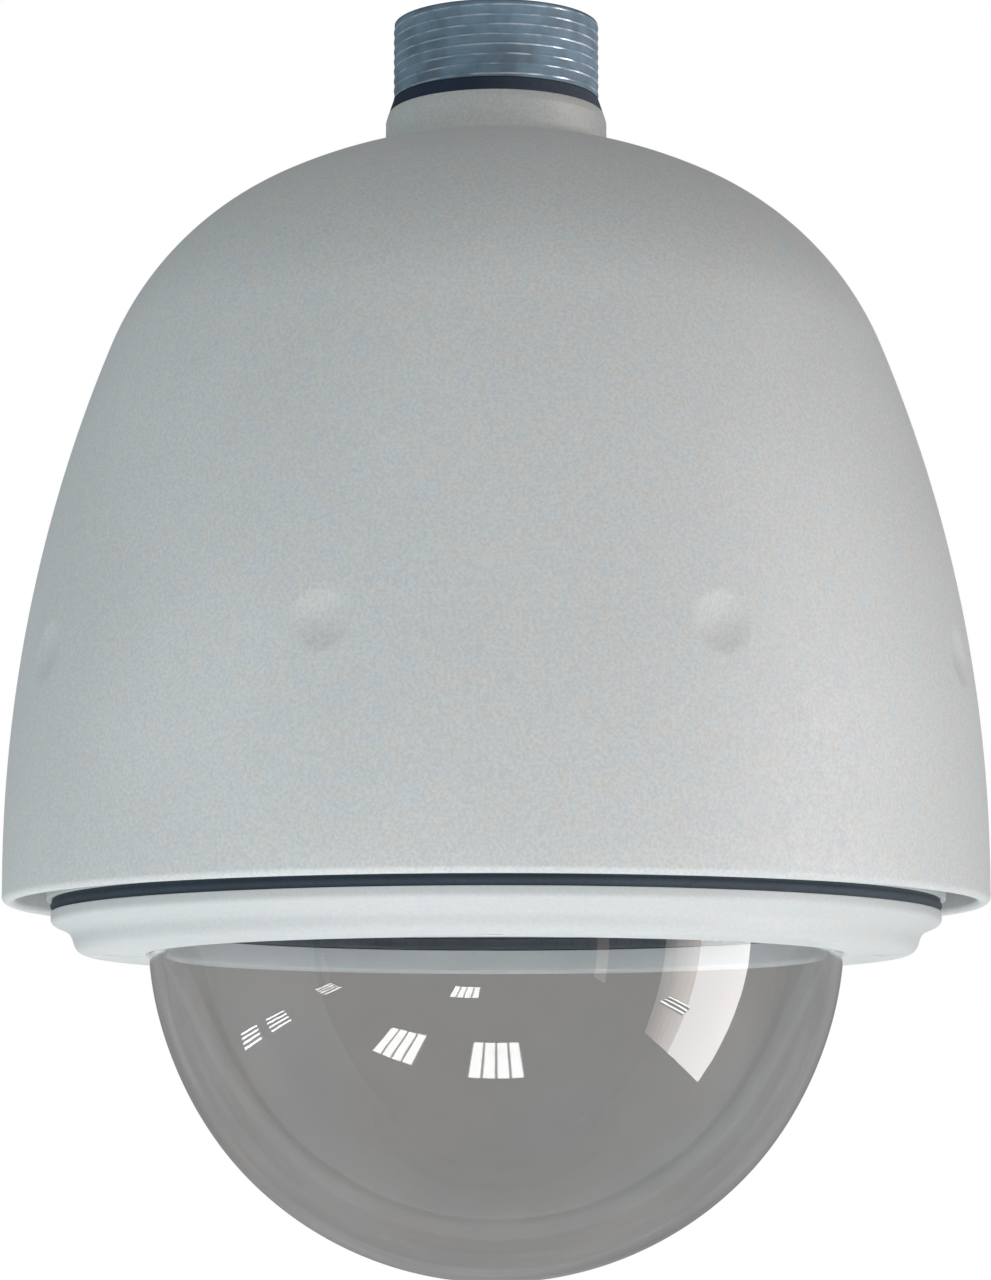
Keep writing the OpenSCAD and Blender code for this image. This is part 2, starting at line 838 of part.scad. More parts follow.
module pan_yoke() {
    gusset = 10;
    color("#34383d") difference() {
        union() {
            disc(yoke_r, yoke_z, yoke_z - yoke_t);
            for (side = [-1, 1]) {
                translate([side * (arm_in_x + arm_t / 2) - arm_t / 2, 0, tilt_z])
                    rotate([90, 0, 90]) linear_extrude(arm_t) arm_outline();
                for (y = [-arm_r, arm_r - 2]) translate([0, y + 2, yoke_z - yoke_t])
                    rotate([90, 0, 0]) linear_extrude(2) polygon([
                        [side * (arm_in_x + arm_t - cut), cut],
                        [side * (arm_in_x + arm_t - cut), -gusset],
                        [side * (arm_in_x + arm_t + gusset - cut), cut]]);
            }
        }
        disc(hub_bore_r, 0, yoke_z - yoke_t - cut);
        around(fixing_count, hub_screw_circle) disc(1.6, 0, yoke_z - yoke_t - cut);
        translate([-arm_in_x - 2 * arm_t, 0, tilt_z]) rotate([0, 90, 0])
            cylinder(r = bushing_r, h = 2 * arm_in_x + 4 * arm_t);
        translate([arm_in_x - cut, 0, tilt_motor_z]) rotate([0, 90, 0]) {
            cylinder(r = tilt_shaft_hole_r, h = arm_t + 2 * cut);
            for (x = [-1, 1], y = [-1, 1]) translate([x, y, 0] * tilt_hole_pitch)
                cylinder(r = 1.5, h = arm_t + 2 * cut);
        }
    }
}

module yoke_screws() {
    color("Silver") around(fixing_count, hub_screw_circle) translate([0, 0, yoke_z - yoke_t - 2]) mirror([0, 0, 1])
        screw(2.2, 1.6, 1.2, yoke_t + 8);
}

module tilt_bushings() {
    color("Peru") on_tilt_axis() for (side = [0, 1]) mirror([0, 0, side]) difference() {
        union() {
            translate([0, 0, arm_in_x]) cylinder(r = bushing_r, h = arm_t);
            translate([0, 0, arm_in_x - 1]) cylinder(r = bushing_flange_r, h = 1);
        }
        translate([0, 0, arm_in_x - 2]) cylinder(r = pin_r + run_gap, h = arm_t + 3);
    }
}

module tilt_motor() {
    half = tilt_motor_w / 2;
    c = motor_can_chamfer;
    color("#33373b") translate([arm_in_x + arm_t, 0, tilt_motor_z]) rotate([90, 0, 90]) difference() {
        linear_extrude(tilt_motor_l) polygon([
            [-half + c, -half], [half - c, -half], [half, -half + c], [half, half - c],
            [half - c, half], [-half + c, half], [-half, half - c], [-half, -half + c]]);
        translate([0, 0, -cut]) cylinder(r = tilt_shaft_r + 0.5, h = tilt_motor_l / 2);
        for (x = [-1, 1], y = [-1, 1]) translate([x, y, 0] * tilt_hole_pitch)
            translate([0, 0, -cut]) cylinder(r = 1.3, h = 6 + cut);
    }
}

module tilt_motor_screws() {
    color("Silver") translate([arm_in_x, 0, tilt_motor_z]) rotate([0, -90, 0])
        for (x = [-1, 1], y = [-1, 1]) translate([x, y, 0] * tilt_hole_pitch)
            screw(2.2, 1.4, 1.25, arm_t + 5);
}

module tilt_motor_pulley() {
    color("Silver") translate([tilt_pulley_x, 0, tilt_motor_z]) rotate([0, 90, 0]) {
        pulley(motor_pulley_r, tilt_pulley_w, tilt_flange_h, tilt_shaft_r, tilt_flange_rise);
        cylinder(r = tilt_shaft_r, h = arm_in_x + arm_t - tilt_pulley_x + tilt_motor_l / 2 - 2 * cut);
    }
}

module tilt_belt() {
    play = (tilt_pulley_w - tilt_belt_w) / 2;
    color("#1b1d20") translate([tilt_pulley_x + play, 0, tilt_z]) rotate([90, 0, 90])
        belt(tilt_pulley_r, motor_pulley_r, tilt_centres, tilt_belt_w);
}

module tilt_control_board() {
    post_ys = [control_ys[0] + 3, control_ys[1] - 3];
    post_zs = [control_zs[0] + 3, control_zs[1] - 3];
    inner = control_x + board_t;
    color("#1f6b3f") {
        box([control_x, control_ys[0], control_zs[0]], [inner, control_ys[1], control_zs[1]]);
        for (y = post_ys, z = post_zs) translate([inner, y, z]) rotate([0, 90, 0])
            translate([0, 0, -0.2]) cylinder(r = 1.8, h = -arm_in_x - arm_t - inner + 0.2);
        box([control_x - 1.6, -6, -150], [control_x, 6, -138]);
        box([control_x - 4, -9, -162], [control_x, 9, -157]);
    }
}

// ---------------------------------------------------------------------- the camera

module camera_chassis() {
    color("#6d7378") translate([0, 0, tilt_z]) difference() {
        union() {
            difference() {
                box([-body_x, body_front_y, -body_z], [body_x, body_back_y, body_z]);
                box([-body_x + body_wall, body_front_y + 3, -body_z + body_wall],
                    [body_x - body_wall, body_back_y + cut, body_z - body_wall]);
            }
            for (x = [-boss_x, boss_x], z = [-boss_z, boss_z])
                intersection() {
                    translate([x, body_back_y, z]) rotate([90, 0, 0])
                        cylinder(r = boss_r, h = body_back_y - body_front_y);
                    box([-body_x, body_front_y, -body_z], [body_x, body_back_y, body_z]);
                }
        }
        translate([0, barrel_back_y + cut, 0]) rotate([90, 0, 0])
            cylinder(r = barrel_r + run_gap, h = barrel_back_y - body_front_y + 2 * cut);
        for (x = [-boss_x, boss_x], z = [-boss_z, boss_z]) translate([x, body_back_y + cut, z])
            rotate([90, 0, 0]) cylinder(r = 1.25, h = body_back_y - body_front_y + 2 * cut);
    }
}

module camera_front_cover() {
    depth = body_front_y - front_y;
    color("#24272b") on_lens_axis() translate([0, 0, -body_front_y]) difference() {
        linear_extrude(depth) rounded_area(camera_w, camera_h, cover_corner);
        translate([0, 0, -cut]) cylinder(r = barrel_r + run_gap, h = depth + 2 * cut);
        for (x = [-boss_x, boss_x], z = [-boss_z, boss_z]) translate([x, z, 0]) {
            translate([0, 0, -cut]) cylinder(r = 1.4, h = depth + 2 * cut);
            translate([0, 0, depth - 2]) cylinder(r = 2.4, h = 2 + cut);
        }
    }
}

module camera_rear_cover() {
    depth = back_y - body_back_y;
    color("#24272b") on_lens_axis() translate([0, 0, -back_y]) difference() {
        linear_extrude(depth) rounded_area(camera_w, camera_h, cover_corner);
        translate([0, 0, -cut]) linear_extrude(depth + 2 * cut) square([16, 7], center = true);
        for (x = [-boss_x, boss_x], z = [-boss_z, boss_z]) translate([x, z, 0]) {
            translate([0, 0, -cut]) cylinder(r = 1.4, h = depth + 2 * cut);
            translate([0, 0, -cut]) cylinder(r = 2.4, h = 2 + cut);
        }
    }
}

module camera_screws() {
    color("Silver") on_lens_axis() for (x = [-boss_x, boss_x], z = [-boss_z, boss_z]) {
        translate([x, z, -front_y - 2]) screw(2.2, 1.6, 1.2, 16);
        translate([x, z, -back_y + 2]) mirror([0, 0, 1]) screw(2.2, 1.6, 1.2, 10);
    }
}

module lens_barrel() {
    tube_l = barrel_back_y - barrel_front_y;
    color("#15171a") on_lens_axis() translate([0, 0, -barrel_back_y]) difference() {
        cylinder(r = barrel_r, h = tube_l);
        translate([0, 0, -cut]) cylinder(r = barrel_bore_r, h = tube_l - 0.5);
        cylinder(r = front_lip_r, h = tube_l + cut);
    }
}

// Double convex lens of radius r, with a rim of half the middle's thickness
module lens(r, thickness) {
    rim = thickness / 2;
    bulge = (thickness - rim) / 2;
    ball = (r * r + bulge * bulge) / (2 * bulge);
    intersection() {
        cylinder(r = r, h = thickness);
        translate([0, 0, thickness - ball]) sphere(ball);
        translate([0, 0, ball]) sphere(ball);
    }
}

module front_lens() {
    color([0.25, 0.2, 0.45]) on_lens_axis() translate([0, 0, -barrel_front_y - front_lens_sink - front_lens_t])
        lens(barrel_bore_r - run_gap, front_lens_t);
}

module lens_group(start_y, length) {
    on_lens_axis() translate([0, 0, -start_y - length]) {
        difference() {
            cylinder(r = barrel_bore_r - slide_gap, h = length);
            translate([0, 0, -cut]) cylinder(r = carrier_lens_r, h = length + 2 * cut);
        }
        translate([0, 0, (length - carrier_lens_t) / 2]) lens(carrier_lens_r + 0.2, carrier_lens_t);
    }
}

module zoom_lens_group() {
    color("#4d5a68") lens_group(zoom_y, zoom_l);
}

module focus_lens_group() {
    color("#4d5a68") lens_group(focus_y, focus_l);
}

module ir_cut_filter() {
    color("#7d3a46") translate([-filter_window, filter_y, tilt_z]) difference() {
        box([-filter_half_w, 0, -filter_half_h], [filter_half_w, filter_t, filter_half_h]);
        for (x = [-filter_window, filter_window]) translate([x, filter_t / 2, 0])
            cube([9, filter_t - 1, 10] + [0, 2 * cut, 0], center = true);
    }
}

module camera_boards() {
    half_w = body_x - body_wall;
    color("#1f6b3f") translate([0, 0, tilt_z]) for (y = [sensor_y, main_board_y])
        box([-half_w, y, -board_half_h], [half_w, y + board_t, board_half_h]);
    color("#20242a") translate([0, 0, tilt_z]) {
        box([-5, sensor_y - 1.4, -4], [5, sensor_y, 4]);
        box([-7, main_board_y + board_t, -6], [5, main_board_y + board_t + 1.5, 6]);
    }
}

module tilt_pins() {
    color("Silver") on_tilt_axis() for (side = [0, 1]) mirror([0, 0, side]) difference() {
        union() {
            translate([0, 0, body_x]) cylinder(r = 7, h = 1.5);
            translate([0, 0, body_x]) cylinder(r = pin_r, h = arm_in_x + arm_t + 1.5 - body_x);
            translate([0, 0, arm_in_x + arm_t + 0.4]) cylinder(r = 5.5, h = 0.8);
        }
        translate([0, 0, body_x - cut]) cylinder(r = 1.5, h = arm_in_x);
    }
}

module tilt_pulley() {
    color("#3b4046") translate([tilt_pulley_x, 0, tilt_z]) rotate([0, 90, 0])
        pulley(tilt_pulley_r, tilt_pulley_w, tilt_flange_h, pin_r + run_gap, tilt_flange_rise);
}

threaded_nipple();
mount_gasket();
nipple_locknut();
sunshield();
shield_spacers();
housing_body();
housing_gasket();
chassis_plate();
chassis_screws();
terminal_board();
board_standoffs();
board_screws();
terminal_block();
coax_socket();
power_module();
drive_board();
drive_board_standoffs();
heater_bracket();
heater_block();
fan_frame();
fan_rotor();
bearing_cup();
cup_screws();
pan_bearing_outer();
slip_ring_stator();
pan_motor();
pan_belt();
pan_motor_pulley();
pan_bearing_inner();
pan_bearing_balls();
pan_hub();
hub_nut();
pan_pulley();
slip_ring_rotor();
pan_yoke();
yoke_screws();
tilt_bushings();
tilt_motor();
tilt_motor_screws();
tilt_belt();
tilt_control_board();
tilt_motor_pulley();
camera_chassis();
camera_front_cover();
camera_rear_cover();
camera_screws();
lens_barrel();
front_lens();
camera_boards();
tilt_pins();
tilt_pulley();
zoom_lens_group();
focus_lens_group();
ir_cut_filter();
trim_ring();
bubble_seal();
dome_bubble();
bubble_clamp_ring();
clamp_ring_screws();
trim_ring_screws();
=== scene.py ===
import json
import math

import bmesh
import bpy
from mathutils import Matrix, Vector


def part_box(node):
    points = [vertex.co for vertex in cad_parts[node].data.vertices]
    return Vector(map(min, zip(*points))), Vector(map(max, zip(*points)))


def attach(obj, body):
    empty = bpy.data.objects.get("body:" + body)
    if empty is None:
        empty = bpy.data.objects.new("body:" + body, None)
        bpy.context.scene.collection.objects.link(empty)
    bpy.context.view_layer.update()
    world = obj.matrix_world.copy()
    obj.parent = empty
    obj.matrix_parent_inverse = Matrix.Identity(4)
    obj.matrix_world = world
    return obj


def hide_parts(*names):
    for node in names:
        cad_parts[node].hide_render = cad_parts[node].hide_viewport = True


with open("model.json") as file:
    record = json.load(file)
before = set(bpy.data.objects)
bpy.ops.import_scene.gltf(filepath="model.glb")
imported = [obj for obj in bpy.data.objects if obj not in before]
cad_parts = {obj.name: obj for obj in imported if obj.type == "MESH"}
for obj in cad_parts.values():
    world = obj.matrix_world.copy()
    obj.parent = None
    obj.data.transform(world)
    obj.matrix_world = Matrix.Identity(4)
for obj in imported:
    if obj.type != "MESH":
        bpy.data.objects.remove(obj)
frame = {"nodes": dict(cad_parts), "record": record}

# The pendant dome camera's looks. Everything is in metres, in the CAD frame: z = 0 is the foot
# of the pipe thread, +Z is up and -Y is the front.

MM = 0.001
TAU = 2 * math.pi
nodes = frame["nodes"]
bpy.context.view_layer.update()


# ---------------------------------------------------------------------------- materials

class Surface:
    """A Principled material with helpers for procedural colour, roughness and bump."""

    def __init__(self, name, colour, roughness, metallic=0.0):
        self.material = bpy.data.materials.new(name)
        self.material.use_nodes = True
        self.tree = self.material.node_tree
        self.shader = next(n for n in self.tree.nodes if n.type == "BSDF_PRINCIPLED")
        self.shader.inputs["Metallic"].default_value = metallic
        self.colour = colour
        self.roughness = roughness
        self.coords = self.tree.nodes.new("ShaderNodeTexCoord").outputs["Object"]
        self.bump_from = None

    def link(self, source, target):
        self.tree.links.new(source, target)

    def stretched(self, scale):
        mapping = self.tree.nodes.new("ShaderNodeMapping")
        mapping.inputs["Scale"].default_value = scale
        self.link(self.coords, mapping.inputs["Vector"])
        return mapping.outputs["Vector"]

    def noise(self, scale, detail=3.0, stretch=None):
        """Noise whose scale is in features per metre."""
        tex = self.tree.nodes.new("ShaderNodeTexNoise")
        tex.inputs["Scale"].default_value = scale
        tex.inputs["Detail"].default_value = detail
        self.link(self.stretched(stretch) if stretch else self.coords, tex.inputs["Vector"])
        return tex.outputs["Fac"]

    def spread(self, fac, low, high, to_low=0.0, to_high=1.0):
        node = self.tree.nodes.new("ShaderNodeMapRange")
        for socket, value in (("From Min", low), ("From Max", high),
                              ("To Min", to_low), ("To Max", to_high)):
            node.inputs[socket].default_value = value
        self.link(fac, node.inputs["Value"])
        return node.outputs["Result"]

    def mix(self, fac, a, b):
        """Mixes two colours, or a socket and a colour."""
        node = self.tree.nodes.new("ShaderNodeMix")
        node.data_type = "RGBA"
        self.link(fac, node.inputs["Factor"])
        for value, socket in ((a, node.inputs["A"]), (b, node.inputs["B"])):
            if isinstance(value, tuple):
                socket.default_value = (*value, 1.0)
            else:
                self.link(value, socket)
        return node.outputs["Result"]

    def times(self, a, b):
        """Multiplies two numbers."""
        node = self.tree.nodes.new("ShaderNodeMath")
        node.operation = "MULTIPLY"
        self.link(a, node.inputs[0])
        self.link(b, node.inputs[1])
        return node.outputs[0]

    def multiply(self, a, b):
        """Multiplies two colour sockets."""
        node = self.tree.nodes.new("ShaderNodeVectorMath")
        node.operation = "MULTIPLY"
        self.link(a, node.inputs[0])
        self.link(b, node.inputs[1])
        return node.outputs["Vector"]

    def paint(self, socket):
        self.link(socket, self.shader.inputs["Base Color"])

    def rough(self, fac, spread):
        self.link(self.spread(fac, 0.3, 0.7, self.roughness - spread, self.roughness + spread),
                  self.shader.inputs["Roughness"])

    def bump(self, fac, height):
        node = self.tree.nodes.new("ShaderNodeBump")
        node.inputs["Distance"].default_value = height
        self.link(fac, node.inputs["Height"])
        if self.bump_from:
            self.link(self.bump_from, node.inputs["Normal"])
        self.bump_from = node.outputs["Normal"]
        self.link(self.bump_from, self.shader.inputs["Normal"])

    def set(self, **values):
        for name, value in values.items():
            self.shader.inputs[name.replace("_", " ")].default_value = value


def shade(colour, factor):
    return tuple(min(c * factor, 1.0) for c in colour)


# Fade of the painted shade below and above its height
FADE_BELOW, FADE_ABOVE = 0.5 * MM, 1.5 * MM
# Colour factor of that painted shade
SHADE_TINT = (0.84, 0.83, 0.81)


def painted(name, colour, roughness, tone=0.03, grain=0.00004, speckle=0.05, hue=0.02,
            shade_above=None):
    """Sprayed, lightly textured paint: slow tone drift, fine speckle and an orange-peel bump.

    Where a height is given, it is painted darker and warmer above it: painted shade."""
    s = Surface(name, colour, roughness)
    drift = s.spread(s.noise(14.0, 2.0), 0.35, 0.65)
    speck = s.spread(s.noise(1500.0, 2.0), 0.35, 0.65)
    base = s.mix(drift, shade(colour, 1 - tone), shade(colour, 1 + tone))
    tint = s.mix(s.spread(s.noise(260.0, 4.0), 0.35, 0.65),
                 (1 + hue, 1.0, 1 - hue), (1 - hue, 1.0, 1 + hue))
    # Painted shade: above the given height the colour is multiplied darker and warmer
    if shade_above is not None:
        parts = s.tree.nodes.new("ShaderNodeSeparateXYZ")
        s.link(s.coords, parts.inputs[0])
        shade_mask = s.spread(parts.outputs["Z"], shade_above - FADE_BELOW, shade_above + FADE_ABOVE)
        base = s.multiply(base, s.mix(shade_mask, (1.0, 1.0, 1.0), SHADE_TINT))
    grains = s.mix(speck, (1 + speckle,) * 3, (1 - speckle,) * 3)
    s.paint(s.multiply(s.multiply(base, tint), grains))
    s.rough(s.noise(600.0, 3.0), 0.06)
    s.bump(s.noise(900.0, 4.0), grain)
    return s.material


# Distances from the axis between which the thread's crests are painted bright: partly rubbed metal,
# partly a painted glint
CREST_BAND = (23.85 * MM, 23.89 * MM)


def thread_metal(name, colour, roughness):
    """Dull blue-grey turned metal whose outermost edges are painted bright, partly as rubbed metal,
    partly as a painted glint.
    """
    s = Surface(name, colour, roughness, metallic=0.15)
    parts = s.tree.nodes.new("ShaderNodeSeparateXYZ")
    s.link(s.coords, parts.inputs[0])
    flat = s.tree.nodes.new("ShaderNodeCombineXYZ")
    s.link(parts.outputs["X"], flat.inputs["X"])
    s.link(parts.outputs["Y"], flat.inputs["Y"])
    length = s.tree.nodes.new("ShaderNodeVectorMath")
    length.operation = "LENGTH"
    s.link(flat.outputs[0], length.inputs[0])
    # Painted highlight along the crests, broken by noise: partly rubbed metal, partly a painted
    # glint
    crest = s.spread(length.outputs["Value"], *CREST_BAND)
    wear_and_glint = s.spread(s.noise(170.0, 4.0, (1.0, 1.0, 5.0)), 0.42, 0.68, 0.05, 0.9)
    rubbed_glint = s.times(crest, wear_and_glint)
    marks = s.noise(1.0, 4.0, (60.0, 60.0, 2600.0))
    stain = s.spread(s.noise(160.0, 4.0), 0.4, 0.65)
    dull = s.mix(stain, s.mix(marks, shade(colour, 0.8), shade(colour, 1.2)), shade(colour, 0.66))
    glint_colour = (0.66, 0.68, 0.71)
    s.paint(s.mix(rubbed_glint, dull, glint_colour))
    s.link(s.spread(rubbed_glint, 0.0, 1.0, 0.15, 1.0), s.shader.inputs["Metallic"])
    s.link(s.spread(rubbed_glint, 0.0, 1.0, roughness, 0.3), s.shader.inputs["Roughness"])
    s.bump(marks, 0.00002)
    return s.material


def plain_metal(name, colour, roughness, grain=0.00002):
    s = Surface(name, colour, roughness, metallic=1.0)
    fine = s.noise(900.0, 4.0)
    s.paint(s.mix(s.spread(s.noise(120.0, 3.0), 0.35, 0.7), colour, shade(colour, 0.8)))
    s.rough(fine, 0.08)
    s.bump(fine, grain)
    return s.material


def moulded(name, colour, roughness, grain=0.00003, tone=0.12):
    """Moulded plastic or rubber with a fine spark-eroded grain."""
    s = Surface(name, colour, roughness)
    fine = s.noise(1300.0, 3.0)
    drift = s.spread(s.noise(60.0, 3.0), 0.35, 0.65)
    s.paint(s.mix(drift, shade(colour, 1 - tone), shade(colour, 1 + tone)))
    s.rough(fine, 0.07)
    s.bump(fine, grain)
    return s.material


def circuit_board(name, colour):
    """Green solder mask with a hint of copper tracks under it."""
    s = Surface(name, colour, 0.35)
    brick = s.tree.nodes.new("ShaderNodeTexBrick")
    brick.inputs["Scale"].default_value = 420.0
    brick.inputs["Mortar Size"].default_value = 0.012
    s.link(s.coords, brick.inputs["Vector"])
    lines = s.spread(brick.outputs["Fac"], 0.0, 1.0)
    s.paint(s.mix(lines, s.mix(s.noise(300.0), colour, shade(colour, 0.75)), shade(colour, 1.7)))
    s.rough(s.noise(700.0), 0.05)
    s.bump(lines, 0.00002)
    return s.material


def clear(name, colour, ior, roughness):
    """Tinted clear plastic or glass with a trace of wipe marks in its gloss."""
    s = Surface(name, colour, roughness)
    drift = s.spread(s.noise(25.0, 3.0), 0.35, 0.65)
    s.paint(s.mix(drift, shade(colour, 0.985), shade(colour, 1.015)))
    s.set(Transmission_Weight=1.0, IOR=ior)
    s.link(s.spread(s.noise(45.0, 4.0), 0.4, 0.8, roughness * 0.5, roughness * 1.5),
           s.shader.inputs["Roughness"])
    return s.material


# A height in the fillet at the collar's foot, above which the shield's paint is darker and warmer:
# painted shade over the collar and the top of the crown
COLLAR_FOOT_Z = -12.1 * MM
SHELL_GREY = (0.605, 0.607, 0.612)
MATERIALS = {
    "shield_paint": painted("shield_paint", SHELL_GREY, 0.62, speckle=0.07, hue=0.025,
                            shade_above=COLLAR_FOOT_Z),
    "housing_paint": painted("housing_paint", (0.60, 0.625, 0.63), 0.5),
    "ring_paint": painted("ring_paint", (0.575, 0.58, 0.585), 0.62, tone=0.015, speckle=0.03,
                          hue=0.008),
    "turned_aluminium": thread_metal("turned_aluminium", (0.152, 0.233, 0.31), 0.8),
    "sheet_steel": plain_metal("sheet_steel", (0.48, 0.49, 0.50), 0.42),
    "screw_steel": plain_metal("screw_steel", (0.62, 0.62, 0.61), 0.32),
    "bearing_steel": plain_metal("bearing_steel", (0.72, 0.72, 0.73), 0.16, grain=0.000005),
    "black_rubber": moulded("black_rubber", (0.022, 0.037, 0.058), 0.85),
    # Lighter than the other rubbers: painted reflection of the bubble lying over the seal
    "seal_rubber": moulded("seal_rubber", (0.09, 0.12, 0.15), 0.85),
    "mount_rubber": moulded("mount_rubber", (0.008, 0.022, 0.052), 0.9),
    "belt_rubber": moulded("belt_rubber", (0.02, 0.02, 0.022), 0.75),
    "smoked_bubble": clear("smoked_bubble", (0.85, 0.85, 0.845), 1.49, 0.006),
    "lens_glass": clear("lens_glass", (0.75, 0.72, 0.86), 1.6, 0.01),
    "black_plastic": moulded("black_plastic", (0.028, 0.030, 0.033), 0.5),
    "dark_metal": painted("dark_metal", (0.040, 0.043, 0.048), 0.48, tone=0.1),
    "grey_plastic": moulded("grey_plastic", (0.075, 0.085, 0.10), 0.5),
    "cast_aluminium": plain_metal("cast_aluminium", (0.42, 0.43, 0.45), 0.5, grain=0.00006),
    "brass": plain_metal("brass", (0.62, 0.44, 0.16), 0.28),
    "bronze": plain_metal("bronze", (0.42, 0.24, 0.11), 0.45),
    "circuit_board": circuit_board("circuit_board", (0.012, 0.09, 0.035)),
    "green_plastic": moulded("green_plastic", (0.03, 0.22, 0.07), 0.42),
}


# ------------------------------------------------------------------------- mesh helpers

def mesh_object(name, bm, slot, sharp=32):
    """Makes a mesh piece with smooth faces, and sharp edges over the given angle in degrees."""
    bmesh.ops.remove_doubles(bm, verts=bm.verts, dist=1e-6)
    bmesh.ops.recalc_face_normals(bm, faces=bm.faces)
    for edge in bm.edges:
        edge.smooth = len(edge.link_faces) == 2 and edge.calc_face_angle(0) < math.radians(sharp)
    for face in bm.faces:
        face.smooth = True
    mesh = bpy.data.meshes.new(name)
    bm.to_mesh(mesh)
    bm.free()
    mesh.materials.append(MATERIALS[slot])
    piece = bpy.data.objects.new(name, mesh)
    bpy.context.scene.collection.objects.link(piece)
    return piece


def stand_for(piece, node, body):
    """Puts a detailed piece in place of a CAD node."""
    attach(piece, body)
    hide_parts(node)


def arc(centre, radius, start, end, steps):
    """Points (r, z) on an arc, with angles in degrees from the +r direction."""
    angles = [math.radians(start + (end - start) * i / steps) for i in range(steps + 1)]
    return [(centre[0] + radius * math.cos(a), centre[1] + radius * math.sin(a)) for a in angles]


def rounded(points, radius, steps=4):
    """Rounds every corner of a closed outline of (r, z) or (r, z, reach of the rounding)."""
    out = []
    count = len(points)
    for i, corner in enumerate(points):
        here = Vector(corner[:2])
        before, after = Vector(points[i - 1][:2]) - here, Vector(points[(i + 1) % count][:2]) - here
        reach = min(corner[2] if len(corner) > 2 else radius,
                    before.length * 0.49, after.length * 0.49)
        start, end = here + before.normalized() * reach, here + after.normalized() * reach
        for k in range(steps + 1):
            t = k / steps
            out.append(tuple(start.lerp(here, t).lerp(here.lerp(end, t), t)))
    return out


def lathe(outline, segments, closed=True, shape=None):
    """Turns an (r, z) outline about Z into a bmesh. shape can move each point."""
    bm = bmesh.new()
    rings = []
    for r, z in outline:
        if r < 1e-7:
            rings.append([bm.verts.new((0.0, 0.0, z))] * segments)
            continue
        ring = []
        for i in range(segments):
            a = TAU * i / segments
            point = Vector((r * math.cos(a), r * math.sin(a), z))
            ring.append(bm.verts.new(shape(point) if shape else point))
        rings.append(ring)
    pairs = list(zip(rings, rings[1:]))
    if closed:
        pairs.append((rings[-1], rings[0]))
    for low, high in pairs:
        for i in range(segments):
            j = (i + 1) % segments
            corners = [low[i], low[j], high[j], high[i]]
            unique = [v for k, v in enumerate(corners) if v not in corners[:k]]
            if len(unique) > 2:
                bm.faces.new(unique)
    return bm


# --------------------------------------------------------------------- mounting thread

def make_nipple():
    """The nipple with a true right-hand helix for its thread."""
    low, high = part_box("threaded_nipple")
    crest_r = high.x
    root_r = crest_r - 0.14 * MM
    bore_r = 17.0 * MM
    shank_r = crest_r - 3.4 * MM
    pitch = 2.309 * MM
    top = high.z
    chamfer = 0.5 * MM
    across = 160
    phase = 0.53
    profile = [(0.00, 0.0), (0.05, 0.0), (0.08, 0.1), (0.20, 0.88), (0.27, 1.0),
               (0.76, 1.0), (0.83, 0.88), (0.95, 0.1), (0.98, 0.0)]
    depth = crest_r - root_r
    bm = bmesh.new()
    rows = int(top / pitch + 3)
    columns = []
    for i in range(across + 1):
        turn = i / across
        a = TAU * turn
        column = []
        for row in range(-2, rows):
            for share, sink in profile:
                z = min(max((row + phase + turn + share) * pitch, 0.0), top)
                r = crest_r - depth * sink
                r = min(r, crest_r - max(0.0, z - (top - chamfer)))
                column.append(bm.verts.new((r * math.cos(a), r * math.sin(a), z)))
        columns.append(column)
    for left, right in zip(columns, columns[1:]):
        for k in range(len(left) - 1):
            bm.faces.new((left[k], right[k], right[k + 1], left[k + 1]))
    bmesh.ops.remove_doubles(bm, verts=bm.verts, dist=2e-6)
    bmesh.ops.dissolve_degenerate(bm, edges=bm.edges, dist=2e-6)
    thread = mesh_object("threaded_nipple", bm, "turned_aluminium", sharp=40)
    lip = 0.4 * MM
    inner = [(root_r, top), (bore_r + lip, top), (bore_r, top - lip), (bore_r, low.z + lip),
             (bore_r + lip, low.z), (shank_r - lip, low.z), (shank_r, low.z + lip), (shank_r, 0.0),
             (crest_r, 0.0)]
    body = mesh_object("nipple_body", lathe(inner, across, closed=False), "turned_aluminium")
    join(thread, body)
    stand_for(thread, "threaded_nipple", "housing")


def join(target, *others):
    """Merges other pieces' meshes into the first one."""
    bm = bmesh.new()
    bm.from_mesh(target.data)
    for other in others:
        bm.from_mesh(other.data)
        bpy.data.objects.remove(other)
    bm.to_mesh(target.data)
    bm.free()


def make_mount_gasket():
    low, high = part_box("mount_gasket")
    inner = 20.6 * MM
    outline = rounded([(inner, low.z), (high.x, low.z), (high.x - 1.1 * MM, high.z),
                       (inner, high.z)], 0.5 * MM)
    piece = mesh_object("mount_gasket", lathe(outline, 128), "mount_rubber", sharp=50)
    stand_for(piece, "mount_gasket", "housing")


# ------------------------------------------------------------------------- outer shells

FLANK_R = 324 * MM
SHOULDER_R = 73.2 * MM
FLANK_Z = -180.4 * MM
FLANK_ANGLE, SHOULDER_ANGLE = 21.7, 62.9
SHELL_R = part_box("sunshield")[1].x
RIM_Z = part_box("sunshield")[0].z
SHELL_WALL = 3.2 * MM
FLANK_CENTRE = Vector((SHELL_R - FLANK_R, FLANK_Z))
_flank = math.radians(FLANK_ANGLE)
_shoulder = math.radians(SHOULDER_ANGLE)
SHOULDER_CENTRE = (FLANK_CENTRE
                   + (FLANK_R - SHOULDER_R) * Vector((math.cos(_flank), math.sin(_flank))))
CROWN_R = SHOULDER_R + SHOULDER_CENTRE.x / math.cos(_shoulder)
CROWN_Z = SHOULDER_CENTRE.y + (SHOULDER_R - CROWN_R) * math.sin(_shoulder)


